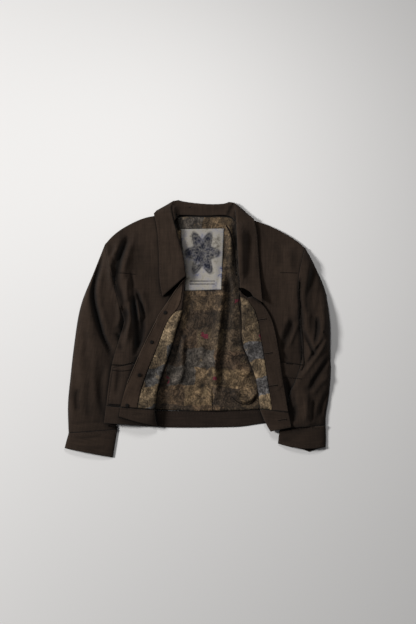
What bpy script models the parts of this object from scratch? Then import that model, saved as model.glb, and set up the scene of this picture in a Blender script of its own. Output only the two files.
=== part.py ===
"""A cropped work jacket laid on its back, open, with both fronts turned back. Sizes are in millimetres."""
import math

import bpy
import bmesh
import numpy as np
from mathutils import Vector

for item in list(bpy.data.objects):
    bpy.data.objects.remove(item, do_unlink=True)

# Cloth and seams
WOOL = 1.6
DOUBLED = 2.0
LINING = 1.0
TAPE = 0.8
LINING_STEP = 2.1
GAP = 0.35
ON_PANEL = 0.95
SEAM = 0.7
MM = 0.001

# Laying: each piece rests on what is under it, bridging steps shorter than REACH
CELL = 4.0
REACH = 20.0
SOFTEN = 8.0
FIELD_X = np.arange(-440.0, 441.0, CELL)
FIELD_Y = np.arange(-140.0, 681.0, CELL)

# Loft of the sleeve edges, the roll of the turned-back fronts and the roll of the collar
SLEEVE_EDGE = 3.4
FRONT_ROLL = 4.2
ROLL_START = 0.45
INNER_SQUASH = 0.45
SQUEEZED = 0.55
COLLAR_ROLL = 4.0
BULGE_REACH = 120.0
PUFF = 5.0

# Grid counts
FRONT_ROWS_NECK = 8
FRONT_ROWS_FOLD = 17
FRONT_COLUMNS = 9
FLAP_COLUMNS = 6
ROLL_STEPS = 4
SLEEVE_RING = 20
SLEEVE_ROWS = 19
CUFF_ROWS = 5
BACK_COLUMNS = 21
BACK_ROWS = 20

# Outlines by side, as x, y in plan: y is up from the hem, x is from the centre line
OUTLINES = {
    "left": {
        "shoulder": [(-268, 493), (-238, 524), (-204, 546), (-164, 564), (-124, 571), (-86, 569)],
        "neck": [(-86, 569), (-88, 535), (-84, 500), (-76, 462), (-66, 432), (-52, 407)],
        "fold": [(-52, 407), (-56, 350), (-63, 304), (-77, 264), (-93, 205), (-114, 148), (-129, 95),
                 (-134, 49)],
        "fold_band": [(-134, 49), (-131, 25), (-127, 3)],
        "edge": [(-64, 390), (-94, 345), (-134, 280), (-171, 204), (-207, 121), (-225, 56)],
        "edge_band": [(-225, 56), (-228, 42), (-229, 28)],
        "side": [(-214, 284), (-234, 225), (-250, 166), (-258, 110), (-264, 58)],
        "side_band": [(-264, 58), (-267, 36), (-270, 13)],
    },
    "right": {
        "shoulder": [(272, 483), (243, 507), (199, 532), (160, 549), (124, 560), (90, 565)],
        "neck": [(90, 565), (98, 530), (102, 495), (103, 455), (103, 415), (96, 372)],
        "fold": [(96, 372), (100, 320), (101, 275), (104, 225), (119, 185), (137, 140), (146, 95), (150, 49)],
        "fold_band": [(150, 49), (159, 22), (178, -11)],
        "edge": [(109, 363), (130, 352), (155, 334), (182, 289), (194, 240), (201, 200), (212, 124),
                 (225, 42)],
        "edge_band": [(225, 42), (230, 22), (234, 2)],
        "side": [(266, 255), (263, 200), (263, 150), (264, 100), (265, 50)],
        "side_band": [(265, 50), (266, 30), (267, 10)],
    },
}
BACK_NECK = [(-86, 569), (-70, 570), (-40, 570), (0, 568), (42, 570), (70, 570), (90, 565)]
BACK_SEAM = [(-264, 58), (-200, 50), (-125, 45), (0, 44), (101, 46), (169, 50), (265, 50)]
BACK_HEM = [(-270, 13), (-200, 6), (-125, 0.5), (-47, -1), (30, 0), (101, 2), (169, 12), (267, 10)]

# Sleeves: the outer and inner edge of each section, how far its middle bows, and its height
SLEEVE_COLUMNS = ("outer_x", "outer_y", "inner_x", "inner_y", "bow", "loft")
SLEEVES = {
    "left": [
        (-268, 493, -214, 284, 0, 17),
        (-300, 412, -217, 259, 0, 20),
        (-334, 326, -222, 232, 0, 22),
        (-351, 223, -233, 178, 0, 22),
        (-361, 135, -240, 110, 0, 20),
        (-368, 61, -240, 50, 0, 18),
        (-366, -16, -236, -6, 0, 15),
    ],
    "right": [
        (272, 483, 266, 255, -13, 18),
        (300, 428, 266, 230, -9, 21),
        (325, 370, 267, 200, -5, 23),
        (338, 300, 264, 165, 0, 24),
        (340, 223, 245, 122, 0, 24),
        (340, 149, 228, 82, 0, 22),
        (335, 85, 222, 44, 0, 19),
        (325, 26, 210, 9, 0, 16),
        (326, 4, 203, -1, 0, 15),
    ],
}
CUFFS = {
    "left": [
        (-366, -17, -236, -7, 0, 14),
        (-372, -37, -242, -44, 0, 14),
        (-377, -57, -248, -82, 0, 14),
    ],
    "right": [
        (326, 3, 203, -2, 0, 14),
        (327, -26, 201, -23, 4, 14),
        (326, -54, 199, -45, 8, 14),
    ],
}

# The under layer of the right cuff shows below its edge: where, how wide and how far
CUFF_PEEK = (284, 17, 9)

# Folds: path in plan, half width and height (below zero is a trough)
FOLDS = {
    "front_left": [
        ([(-196, 520), (-218, 480), (-240, 424)], 11, -7),
        ([(-178, 500), (-205, 450), (-214, 400)], 16, 5),
        ([(-194, 405), (-192, 330), (-188, 248)], 9, -6),
        ([(-176, 410), (-176, 340), (-174, 300)], 9, 4),
        ([(-184, 375), (-172, 330), (-158, 285)], 8, -5),
        ([(-212, 330), (-205, 270), (-215, 200)], 14, 5),
    ],
    "front_right": [
        ([(215, 470), (235, 400), (236, 330)], 18, 4),
        ([(240, 300), (225, 255), (205, 215)], 10, -6),
        ([(225, 310), (210, 270), (196, 235)], 12, 4),
        ([(165, 470), (172, 400), (176, 340)], 16, 3),
    ],
    "sleeve_left": [
        ([(-272, 470), (-297, 375), (-280, 248), (-250, 192)], 9, -8),
        ([(-318, 360), (-310, 280), (-290, 200)], 18, 4),
        ([(-330, 180), (-310, 120), (-300, 60)], 14, 3),
        ([(-280, 160), (-290, 90), (-285, 20)], 12, -4),
    ],
    "sleeve_right": [
        ([(337, 226), (270, 158), (232, 94)], 9, -7),
        ([(332, 262), (268, 190), (238, 135)], 16, 5),
        ([(300, 400), (296, 320), (300, 250)], 14, -5),
        ([(320, 340), (318, 280), (322, 230)], 12, 4),
        ([(318, 130), (290, 90), (262, 30)], 12, -4),
    ],
    "back_lining": [
        ([(38, 440), (36, 300), (40, 180), (46, 60)], 11, 6),
        ([(58, 430), (54, 300), (58, 180), (62, 60)], 9, -3),
        ([(-40, 230), (-30, 160), (-44, 90)], 14, 3),
        ([(92, 110), (120, 88), (140, 104)], 10, 3),
    ],
}

# Collar: neck seam, roll and outer edge at stations from the left point to the right point.
# Level 0 is tucked under the back, level 1 lies on the fronts; lift is the edge's height off them.
COLLAR_COLUMNS = ("base_x", "base_y", "roll_x", "roll_y", "edge_x", "edge_y", "level", "lift")
COLLAR = [
    (-58, 404, -49, 409, -113, 352, 1.0, 11.0),
    (-66, 432, -52, 438, -121, 396, 1.0, 6.0),
    (-74, 462, -57, 466, -122, 440, 1.0, 2.5),
    (-82, 500, -67, 498, -124, 488, 1.0, 1.5),
    (-86, 532, -77, 534, -127, 533, 1.0, 1.5),
    (-80, 560, -91, 588, -136, 573, 1.0, 1.5),
    (-70, 571, -85, 607, -133, 585, 0.5, 0.0),
    (-58, 572, -70, 612, -106, 572, 0.0, 0.0),
    (-38, 572, -45, 608, -62, 548, 0.0, 0.0),
    (0, 570, 4, 603, 0, 538, 0.0, 0.0),
    (40, 572, 45, 603, 62, 548, 0.0, 0.0),
    (57, 572, 68, 607, 100, 566, 0.0, 0.0),
    (68, 571, 81, 605, 122, 573, 0.5, 0.0),
    (82, 560, 84, 582, 135, 556, 1.0, 1.5),
    (97, 530, 85, 532, 142, 522, 1.0, 1.5),
    (101, 495, 87, 494, 145, 482, 1.0, 1.5),
    (102, 455, 89, 456, 147, 442, 1.0, 2.5),
    (102, 415, 91, 416, 151, 392, 1.0, 6.0),
    (100, 377, 95, 374, 156, 336, 1.0, 11.0),
]
COLLAR_ROWS = 37
LEAF_COLUMNS = 5

# Trim. The lining strip takes a share of the flap's width, by row down the fold
STRIPS = {
    "left": [(0.0, 0.05), (3.4, 0.07), (5.0, 0.46), (16.0, 0.48)],
    "right": [(0.0, 0.26), (1.0, 0.30), (3.0, 0.54), (8.0, 0.52), (12.0, 0.38), (16.0, 0.39)],
}
STRIP_START = {"left": 4, "right": 1}
FACING_COLUMNS = 6
STRIP_COLUMNS = 5
POCKETS = {"left": (0.05, 0.86, 166, 62), "right": (0.03, 0.84, 172, 58)}
LABEL = [(-64, 534), (53, 536), (45, 371), (-54, 368)]
BUTTONS = [(-112, 313), (-142, 229.5), (-174, 142), (-206.5, 60)]
BUTTON_RADIUS = 4.5
BUTTON_HEIGHT = 1.8

COLOURS = {
    "wool": (0.036, 0.026, 0.019, 1.0),
    "lining": (0.130, 0.105, 0.060, 1.0),
    "label": (0.560, 0.560, 0.570, 1.0),
    "button": (0.012, 0.012, 0.013, 1.0),
}

collection = bpy.data.collections.new("cropped_work_jacket")
bpy.context.scene.collection.children.link(collection)
jacket = bpy.data.objects.new("jacket_origin", None)
collection.objects.link(jacket)
ground = np.zeros((len(FIELD_Y), len(FIELD_X)))


def smooth(value):
    value = np.clip(value, 0.0, 1.0)
    return value * value * (3.0 - 2.0 * value)


def spline(rows, count):
    """Rows of a table, drawn out to count rows at equal steps along a smooth curve."""
    rows = np.asarray(rows, float)
    ends = np.vstack([2 * rows[0] - rows[1], rows, 2 * rows[-1] - rows[-2]])
    fine = []
    for a, b, c, d in zip(ends, ends[1:], ends[2:], ends[3:]):
        for t in np.linspace(0.0, 1.0, 24, endpoint=False):
            fine.append(0.5 * (2 * b + (c - a) * t + (2 * a - 5 * b + 4 * c - d) * t ** 2
                               + (3 * b - a - 3 * c + d) * t ** 3))
    fine.append(rows[-1])
    fine = np.array(fine)
    length = np.concatenate([[0.0], np.cumsum(np.linalg.norm(np.diff(fine, axis=0), axis=1))])
    steps = np.linspace(0.0, length[-1], count)
    return np.stack([np.interp(steps, length, column) for column in fine.T], axis=1)


def patch(top, bottom, left, right):
    """The plan points of a panel between its four edges."""
    u = np.linspace(0.0, 1.0, len(top))[None, :, None]
    v = np.linspace(0.0, 1.0, len(left))[:, None, None]
    across = (1 - v) * top[None] + v * bottom[None]
    down = (1 - u) * left[:, None] + u * right[:, None]
    corners = ((1 - v) * ((1 - u) * top[0] + u * top[-1]) + v * ((1 - u) * bottom[0] + u * bottom[-1]))
    return across + down - corners


def lifted(plan, height):
    return np.dstack([plan, height])


def cells(points):
    """Each triangle of a grid of points with the field cells inside it and their heights."""
    for i in range(points.shape[0] - 1):
        for j in range(points.shape[1] - 1):
            a, b, c, d = points[i, j], points[i, j + 1], points[i + 1, j + 1], points[i + 1, j]
            for p, q, r in ((a, b, c), (a, c, d)):
                area = (q[0] - p[0]) * (r[1] - p[1]) - (r[0] - p[0]) * (q[1] - p[1])
                if abs(area) < 1e-6:
                    continue
                low = np.minimum(np.minimum(p, q), r)
                high = np.maximum(np.maximum(p, q), r)
                x0 = int((low[0] - FIELD_X[0]) / CELL)
                x1 = int((high[0] - FIELD_X[0]) / CELL) + 2
                y0 = int((low[1] - FIELD_Y[0]) / CELL)
                y1 = int((high[1] - FIELD_Y[0]) / CELL) + 2
                x, y = np.meshgrid(FIELD_X[x0:x1], FIELD_Y[y0:y1])
                wq = ((x - p[0]) * (r[1] - p[1]) - (r[0] - p[0]) * (y - p[1])) / area
                wr = ((q[0] - p[0]) * (y - p[1]) - (x - p[0]) * (q[1] - p[1])) / area
                inside = (wq > -0.2) & (wr > -0.2) & (wq + wr < 1.2)
                height = np.minimum(p[2] + wq * (q[2] - p[2]) + wr * (r[2] - p[2]), high[2])
                yield slice(y0, y1), slice(x0, x1), inside, height


def stamp(points, thickness):
    """Add the upper face of a piece to the ground that later pieces rest on."""
    for rows, columns, inside, height in cells(points):
        view = ground[rows, columns]
        view[inside] = np.maximum(view[inside], height[inside] + 0.55 * thickness)


def covered(plan):
    mask = np.zeros(ground.shape, bool)
    for rows, columns, inside, _ in cells(lifted(plan, np.zeros(plan.shape[:2]))):
        mask[rows, columns] |= inside
    return mask


def shifts(radius):
    steps = int(round(radius / CELL))
    span = range(-steps, steps + 1)
    return [(i, j) for i in span for j in span if i * i + j * j <= steps * steps + 0.5]


def rest(plan, reach=REACH):
    """Height of what lies under a piece, bridged over steps and softened, at its plan points."""
    below = np.where(covered(plan), ground, 0.0)
    grown = below.copy()
    for shift in shifts(reach + SOFTEN):
        grown = np.maximum(grown, np.roll(below, shift, (0, 1)))
    near = shifts(SOFTEN)
    soft = sum(np.roll(grown, shift, (0, 1)) for shift in near) / len(near)
    return sample(soft, plan)


def sample(field, plan):
    fx = (plan[..., 0] - FIELD_X[0]) / CELL
    fy = (plan[..., 1] - FIELD_Y[0]) / CELL
    i, j = fy.astype(int), fx.astype(int)
    ty, tx = fy - i, fx - j
    upper = field[i, j] * (1 - tx) + field[i, j + 1] * tx
    lower = field[i + 1, j] * (1 - tx) + field[i + 1, j + 1] * tx
    return upper * (1 - ty) + lower * ty


def distance(plan, path):
    """Distance of plan points from a drawn path."""
    path = spline(path, 24)
    gaps = np.linalg.norm(plan[..., None, :] - path, axis=-1)
    return gaps.min(axis=-1)


def creased(plan, folds):
    return sum(height * np.exp(-(distance(plan, path) / width) ** 2) for path, width, height in folds)


def normals(points):
    """Unit normals of a grid of points, upward where the grid's rows run down and its columns to the right."""
    across = np.gradient(points, axis=1)
    down = np.gradient(points, axis=0)
    normal = np.cross(down, across)
    return normal / np.linalg.norm(normal, axis=-1, keepdims=True)


def upward(points):
    """Steps straight up that clear a sloping surface as far as one millimetre along its normal does."""
    slope = np.clip(np.abs(normals(points)[..., 2:3]), 0.6, 1.0)
    return np.concatenate([np.zeros(points.shape[:2] + (2,)), 1 / slope], axis=-1)


def at(points, row, column):
    """A point of a grid at part of a row and column."""
    i = min(int(row), points.shape[0] - 2)
    j = min(int(column), points.shape[1] - 2)
    t, s = row - i, column - j
    upper = points[i, j] * (1 - s) + points[i, j + 1] * s
    lower = points[i + 1, j] * (1 - s) + points[i + 1, j + 1] * s
    return upper * (1 - t) + lower * t


def sewn(name, grids, thickness, stuff):
    """A cloth piece: grids through its points, welded where they meet and thickened evenly on both sides."""
    mesh = bpy.data.meshes.new(name)
    bm = bmesh.new()
    for grid in grids:
        made = bmesh.ops.create_grid(bm, x_segments=grid.shape[1] - 1, y_segments=grid.shape[0] - 1, size=1.0)
        for vert, place in zip(made["verts"], grid.reshape(-1, 3)):
            vert.co = place * MM
    bmesh.ops.remove_doubles(bm, verts=bm.verts, dist=1e-6)
    bmesh.ops.recalc_face_normals(bm, faces=bm.faces)
    bm.to_mesh(mesh)
    bm.free()
    piece = bpy.data.objects.new(name, mesh)
    collection.objects.link(piece)
    piece.parent = jacket
    shell = piece.modifiers.new("cloth", "SOLIDIFY")
    shell.thickness = thickness * MM
    shell.offset = 0.0
    dressed(piece, stuff)


def dressed(piece, stuff):
    material = bpy.data.materials.new(piece.name + "_" + stuff)
    material.use_nodes = True
    shader = material.node_tree.nodes["Principled BSDF"]
    shader.inputs["Base Color"].default_value = COLOURS[stuff]
    shader.inputs["Roughness"].default_value = 0.5 if stuff == "button" else 0.9
    shader.inputs["Metallic"].default_value = 0.0
    piece.data.materials.append(material)


def swelling(share):
    """How high the upper cloth of a sleeve stands across its width, less towards its inner edge."""
    return (2 * np.sqrt(np.clip(share * (1 - share), 0.0, 0.25))) ** 0.9 * (1 - INNER_SQUASH * share ** 2)


def sleeve_sections(table, rows, folds, based=True):
    """Rings of a sleeve or cuff: flat below, raised above, and rolled at both edges."""
    drawn = dict(zip(SLEEVE_COLUMNS, spline(table, rows).T))
    turn = np.linspace(0.0, 2 * math.pi, SLEEVE_RING + 1)
    share = (1 - np.cos(turn)) / 2
    outer = np.stack([drawn["outer_x"], drawn["outer_y"]], axis=1)[:, None]
    run = np.stack([drawn["inner_x"], drawn["inner_y"]], axis=1)[:, None] - outer
    aside = np.dstack([-run[..., 1], run[..., 0]]) / np.linalg.norm(run, axis=-1, keepdims=True)
    bow = drawn["bow"][:, None, None] * (4 * share * (1 - share))[None, :, None]
    plan = outer + run * share[None, :, None] + aside * bow
    level = rest(plan) if based else np.zeros(plan.shape[:2])
    swell = np.abs(np.sin(turn))[None]
    upper = SLEEVE_EDGE + (drawn["loft"][:, None] - SLEEVE_EDGE) * swelling(share)[None]
    upper = upper + creased(plan, folds) * swell if folds else upper
    upper = np.maximum(upper, SLEEVE_EDGE + 2.0 * swell)
    upper = np.maximum(upper, level + SLEEVE_EDGE + SQUEEZED * (upper - SLEEVE_EDGE))
    lower = level + WOOL / 2 + (SLEEVE_EDGE - WOOL / 2) * np.clip(1 - swell / 0.5, 0, 1) ** 2
    return lifted(plan, np.where(np.sin(turn)[None] > 1e-6, upper, lower))


def armhole(side, share):
    """A point of the armhole seam, 0 at the shoulder and 1 under the arm."""
    first = dict(zip(SLEEVE_COLUMNS, SLEEVES[side][0]))
    outer = np.array([first["outer_x"], first["outer_y"]])
    run = np.array([first["inner_x"], first["inner_y"]]) - outer
    aside = np.array([-run[1], run[0]]) / np.linalg.norm(run)
    share = np.asarray(share)[..., None]
    return outer + run * share + aside * first["bow"] * 4 * share * (1 - share)


def arch(side, plan):
    """Height of the armhole seam nearest to plan points, and how near it is."""
    shares = np.linspace(0.0, 1.0, 60)
    gaps = np.linalg.norm(plan[..., None, :] - armhole(side, shares), axis=-1)
    share = shares[gaps.argmin(axis=-1)]
    first = dict(zip(SLEEVE_COLUMNS, SLEEVES[side][0]))
    height = SLEEVE_EDGE + (first["loft"] - SLEEVE_EDGE) * swelling(share)
    return height, smooth(1 - gaps.min(axis=-1) / BULGE_REACH)


def inset(path, amount, towards):
    """Move a path sideways by amount, to the side on which the given x lies."""
    tangent = np.gradient(path, axis=0)
    aside = np.stack([-tangent[:, 1], tangent[:, 0]], axis=1)
    aside /= np.linalg.norm(aside, axis=1, keepdims=True)
    sign = np.sign(np.sum(aside * (np.array([towards, 0.0]) - path * [1, 0]), axis=1, keepdims=True))
    return path + aside * sign * amount


def body_edge(side):
    """The armhole and side seam of one side, from the shoulder to the waistband."""
    count = FRONT_ROWS_NECK + FRONT_ROWS_FOLD
    seam = armhole(side, np.linspace(0.0, 1.0, 12))
    seam = inset(seam, SEAM, 0.0)
    path = np.vstack([seam, spline(OUTLINES[side]["side"], 12)[1:]])
    length = np.concatenate([[0.0], np.cumsum(np.linalg.norm(np.diff(path, axis=0), axis=1))])
    steps = np.linspace(0.0, length[-1], count)
    return np.stack([np.interp(steps, length, column) for column in path.T], axis=1)


def straight(a, b, count):
    share = np.linspace(0.0, 1.0, count)[:, None]
    return np.asarray(a) * (1 - share) + np.asarray(b) * share


# Collar plan; its tucked part is laid first
drawn = dict(zip(COLLAR_COLUMNS, spline(COLLAR, COLLAR_ROWS).T))
collar_base, collar_roll, collar_edge = [np.stack([drawn[line + "_x"], drawn[line + "_y"]], axis=1)
                                         for line in ("base", "roll", "edge")]
collar_level = np.clip(drawn["level"], 0.0, 1.0)
collar_lift = np.maximum(drawn["lift"], 0.0)
tucked = np.flatnonzero(collar_level < 0.05)
under = np.stack([collar_roll[tucked], collar_edge[tucked]], axis=1)
stamp(lifted(under, np.full(under.shape[:2], DOUBLED / 2)), DOUBLED)

# Left sleeve and cuff lie on the floor, under the side of the body
pieces = {}
pieces["sleeve_left"] = sleeve_sections(SLEEVES["left"], SLEEVE_ROWS, FOLDS["sleeve_left"], based=False)
pieces["cuff_left"] = sleeve_sections(CUFFS["left"], CUFF_ROWS, None, based=False)
for name in ("sleeve_left", "cuff_left"):
    stamp(pieces[name], WOOL)

# Back and its waistband
back_top = np.vstack([spline(OUTLINES["left"]["shoulder"], 9)[:-1], spline(BACK_NECK, BACK_COLUMNS - 16),
                      spline(OUTLINES["right"]["shoulder"], 9)[::-1][1:]])
body = {side: body_edge(side) for side in ("left", "right")}
back_sides = {side: spline(body[side], BACK_ROWS) for side in body}
back_plan = patch(back_top, spline(BACK_SEAM, len(back_top)), back_sides["left"], back_sides["right"])
pieces["back"] = lifted(back_plan, rest(back_plan) + WOOL / 2 + np.where(rest(back_plan) > 0.2, GAP, 0.0))
stamp(pieces["back"], WOOL)
band_low = np.array([0.0, -SEAM])
band_plan = patch(spline(BACK_SEAM, 21) + band_low, spline(BACK_HEM, 21),
                  spline(OUTLINES["left"]["side_band"], 4) + band_low,
                  spline(OUTLINES["right"]["side_band"], 4) + band_low)
band_rest = rest(band_plan)
pieces["back_waistband"] = lifted(band_plan, band_rest + DOUBLED / 2 + np.where(band_rest > 0.2, GAP, 0.0))
stamp(pieces["back_waistband"], DOUBLED)

# Back lining between the fronts, tucked a little under them, and the label on it
lining_left = np.vstack([spline([(-84, 565), (-110, 480), (-92, 400)], 9)[:-1],
                         spline([(-92, 400), (-100, 300), (-140, 180), (-168, 50)], 14)])
lining_right = np.vstack([spline([(88, 563), (124, 480), (128, 380)], 9)[:-1],
                          spline([(128, 380), (136, 280), (160, 180), (190, 53)], 14)])
lining_plan = patch(spline([(-84, 565), (-40, 568), (0, 566), (40, 568), (88, 563)], 13),
                    spline([(-168, 50), (0, 46), (101, 48), (190, 53)], 13), lining_left, lining_right)
lining_rest = rest(lining_plan, 8.0)
lining_fold = creased(lining_plan, FOLDS["back_lining"])
pieces["back_lining"] = lifted(lining_plan, lining_rest + GAP + LINING / 2 + np.maximum(lining_fold, 0.0))
stamp(pieces["back_lining"], LINING)
label_plan = patch(straight(LABEL[0], LABEL[1], 7), straight(LABEL[3], LABEL[2], 7),
                   straight(LABEL[0], LABEL[3], 9), straight(LABEL[1], LABEL[2], 9))
pieces["label"] = lifted(label_plan, rest(label_plan, 8.0) + GAP + TAPE / 2)
stamp(pieces["label"], TAPE)


# Fronts: the lower leaf with its armhole raised to the sleeve
lower = {}
for side in ("left", "right"):
    lines = OUTLINES[side]
    neck = spline(lines["neck"], FRONT_ROWS_NECK + 1)
    fold = spline(lines["fold"], FRONT_ROWS_FOLD)
    outer = 400.0 if side == "right" else -400.0
    inner = np.vstack([neck[:-1], inset(fold, FRONT_ROLL, outer)])
    top = spline(lines["shoulder"], FRONT_COLUMNS)
    bottom = straight(body[side][-1], inner[-1], FRONT_COLUMNS)
    plan = patch(top, bottom, body[side], inner)
    level = rest(plan) + GAP + LINING / 2 + LINING_STEP
    height, near = arch(side, plan)
    rim = smooth(distance(plan, lines["shoulder"]) / 60.0) * smooth(distance(plan, lines["side"]) / 50.0)
    out = smooth(np.linalg.norm(plan - inner[:, None], axis=-1) / 60.0)
    puff = (PUFF + creased(plan, FOLDS["front_" + side])) * rim * out * (1 - near)
    fall = creased(plan, FOLDS["front_" + side]) * near * rim
    height = level + np.maximum(height - level, 0.0) * near + puff + fall * smooth((1 - near) * 4)
    lower[side] = lifted(plan, np.maximum(height, level))
    stamp(lower[side], WOOL)
    # Waistband below the seam
    fold_band = inset(spline(lines["fold_band"], 4) + band_low, FRONT_ROLL, outer)
    seam = bottom + band_low
    side_band = spline(lines["side_band"], 4) + band_low
    band = patch(seam, straight(side_band[-1], fold_band[-1], FRONT_COLUMNS), side_band, fold_band)
    lower["band_" + side] = lifted(band, rest(band) + 2 * GAP + LINING + DOUBLED / 2)
    stamp(lower["band_" + side], DOUBLED)
    # Patch pocket, made from the front's points
    first, last, high, low = POCKETS[side]
    surface = lower[side]
    raised = surface + upward(surface) * (WOOL + ON_PANEL)
    rows = [np.interp(-y, -surface[:, 2, 1], np.arange(surface.shape[0])) for y in (high, low)]
    inside_rows = [rows[0]] + list(range(int(rows[0]) + 1, int(math.ceil(rows[1])))) + [rows[1]]
    span = FRONT_COLUMNS - 1
    columns = [first * span] + list(range(1, int(last * span) + 1)) + [last * span]
    columns = [c for k, c in enumerate(columns) if k == 0 or c - columns[k - 1] > 0.05]
    pieces["pocket_" + side] = np.array([[at(raised, r, c) for c in columns] for r in inside_rows])
    stamp(pieces["pocket_" + side], WOOL)

# Right sleeve and cuff lie over the side of the body
pieces["sleeve_right"] = sleeve_sections(SLEEVES["right"], SLEEVE_ROWS, FOLDS["sleeve_right"])
pieces["cuff_right"] = sleeve_sections(CUFFS["right"], CUFF_ROWS, None)
mouth = pieces["cuff_right"][-1]
peek_x, peek_width, peek = CUFF_PEEK
under_half = np.arange(SLEEVE_RING + 1) > SLEEVE_RING / 2
mouth[:, 1] -= under_half * peek * np.exp(-((mouth[:, 0] - peek_x) / peek_width) ** 2)
for name in ("sleeve_right", "cuff_right"):
    stamp(pieces[name], WOOL)


def turned(leaf, fold, edge, thickness):
    """A front folded back on itself: its lower leaf, the roll, and the flap that lies on top."""
    rows = len(fold)
    base = leaf[-rows:, -1]
    share = np.linspace(0.0, 1.0, FLAP_COLUMNS)
    plan = base[:, None, :2] + (edge - base[:, :2])[:, None] * share[None, :, None]
    level = rest(plan) + GAP + thickness / 2
    grown = ROLL_START + (1 - ROLL_START) * smooth(np.arange(rows) / 5.0)
    start = np.maximum(base[:, 2] + 2 * FRONT_ROLL * grown, level[:, 0])
    drop = (1 - smooth(share * 1.4))[None]
    height = level + np.maximum(start[:, None] - level, 0.0) * drop
    height[:, 0] = np.maximum(height[:, 0], start)
    flap = lifted(plan, height)
    roll = []
    for k in range(1, ROLL_STEPS):
        angle = math.pi * k / ROLL_STEPS
        middle = (base + flap[:, 0]) / 2
        out = lifted((fold - base[:, :2])[None], np.zeros((1, rows)))[0]
        lift = (flap[:, 0] - base) / 2
        roll.append(middle + out * math.sin(angle) - lift * math.cos(angle))
    return np.stack(roll, axis=1), flap


# Flaps, facings, lining strips and waistband ends
strips = {}
for side in ("left", "right"):
    lines = OUTLINES[side]
    fold = spline(lines["fold"], FRONT_ROWS_FOLD)
    edge = spline(lines["edge"], FRONT_ROWS_FOLD)
    fold_band = spline(lines["fold_band"], 4) + band_low
    edge_band = spline(lines["edge_band"], 4) + band_low
    whole = np.vstack([fold, fold_band])
    leaf = np.vstack([lower[side][-FRONT_ROWS_FOLD:], lower["band_" + side]])
    roll, flap = turned(leaf, whole, np.vstack([edge, edge_band]), DOUBLED)
    top = slice(0, FRONT_ROWS_FOLD)
    end = slice(FRONT_ROWS_FOLD, None)
    strip = np.concatenate([leaf[:, -1:], roll, flap], axis=1)
    strips[side] = strip[top]
    sewn("front_" + side, [lower[side], strip[top]], WOOL, "wool")
    sewn("waistband_" + side, [lower["band_" + side], strip[end]], DOUBLED, "wool")
    stamp(flap, DOUBLED + LINING + 2 * GAP + 0.4)

for side in ("left", "right"):
    strip = np.concatenate([lower[side][-FRONT_ROWS_FOLD:, -3:-1], strips[side]], axis=1)
    out = normals(strip)
    flap_at = strip.shape[1] - FLAP_COLUMNS
    out = out * np.sign(out[:, -2:-1, 2:3])
    last = strip.shape[1] - 1
    up = upward(strip)
    facing, lining = [], []
    for row in range(FRONT_ROWS_FOLD):
        share = np.interp(row, *np.array(STRIPS[side]).T)
        seam = flap_at + share * (FLAP_COLUMNS - 1)
        columns = np.linspace(seam + 0.04, last - 0.02, FACING_COLUMNS)
        down = min(row, FRONT_ROWS_FOLD - 1.06)
        facing.append([at(strip, down, c) + at(up, down, c) * (WOOL + ON_PANEL) for c in columns])
        if row >= STRIP_START[side]:
            onward = np.linspace(flap_at, seam - 0.03, STRIP_COLUMNS)
            columns = [0.6, 1.0] + list(range(2, flap_at)) + list(onward)
            lining.append([at(strip, down, c) + at(out, down, c) * LINING_STEP for c in columns])
    pieces["facing_" + side] = np.array(facing)
    pieces["front_lining_" + side] = np.array(lining)

# Collar: stand, roll and leaf at each station
for name in ("facing_left", "facing_right"):
    stamp(pieces[name], WOOL)
leaf_share = np.linspace(0.0, 1.0, LEAF_COLUMNS + 1)
to_base = collar_base - collar_roll
to_edge = collar_edge - collar_roll
to_base = to_base / np.linalg.norm(to_base, axis=1, keepdims=True)
to_edge = to_edge / np.linalg.norm(to_edge, axis=1, keepdims=True)
stand_end = collar_roll + to_base * COLLAR_ROLL
leaf_start = collar_roll + to_edge * COLLAR_ROLL
leaf_plan = leaf_start[:, None] + (collar_edge - leaf_start)[:, None] * leaf_share[None, :, None]
stand_plan = np.stack([collar_base, (collar_base + stand_end) / 2, stand_end], axis=1)
on_top = collar_level > 0.6
halves = [np.flatnonzero(on_top & (collar_base[:, 0] < 0)), np.flatnonzero(on_top & (collar_base[:, 0] > 0))]
stand_rest = np.zeros(stand_plan.shape[:2])
leaf_rest = np.zeros(leaf_plan.shape[:2])
for half in halves:
    whole = np.concatenate([stand_plan[half][:, ::-1], leaf_plan[half]], axis=1)
    level = rest(whole, 14.0)
    stand_rest[half] = level[:, 2::-1]
    leaf_rest[half] = level[:, 3:]
neck_rest = float(np.max(sample(ground, np.array([[[-40.0, 560.0], [0.0, 558.0], [40.0, 560.0]]]))))
stations = np.arange(COLLAR_ROWS)
for grid, level in ((stand_rest, neck_rest), (leaf_rest, 0.0)):
    known = np.flatnonzero(on_top | (collar_level < 0.05))
    for column in range(grid.shape[1]):
        grid[collar_level < 0.05, column] = level
        grid[:, column] = np.interp(stations, known, grid[known, column])
stand = lifted(stand_plan, stand_rest + GAP + DOUBLED / 2)
above = collar_level[:, None]
leaf_height = leaf_rest + np.where(leaf_rest > 0.2, GAP, 0.0) + DOUBLED / 2
leaf_height = leaf_height + collar_lift[:, None] * leaf_share
over = np.maximum(stand[:, 2, 2] + 2 * COLLAR_ROLL - leaf_height[:, 0], 0.0)[:, None] * above
leaf_height = leaf_height + over * (1 - smooth(leaf_share * 1.15))[None]
leaf = lifted(leaf_plan, leaf_height)
middle = (stand[:, 2] + leaf[:, 0]) / 2
outward = lifted((collar_roll - (stand_end + leaf_start) / 2)[None], np.zeros((1, COLLAR_ROWS)))[0]
half_way = (leaf[:, 0] - stand[:, 2]) / 2
roll = np.stack([middle + outward * math.sin(math.pi * k / 4) - half_way * math.cos(math.pi * k / 4)
                 for k in (1, 2, 3)], axis=1)
pieces["collar"] = np.concatenate([stand, roll, leaf], axis=1)

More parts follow.
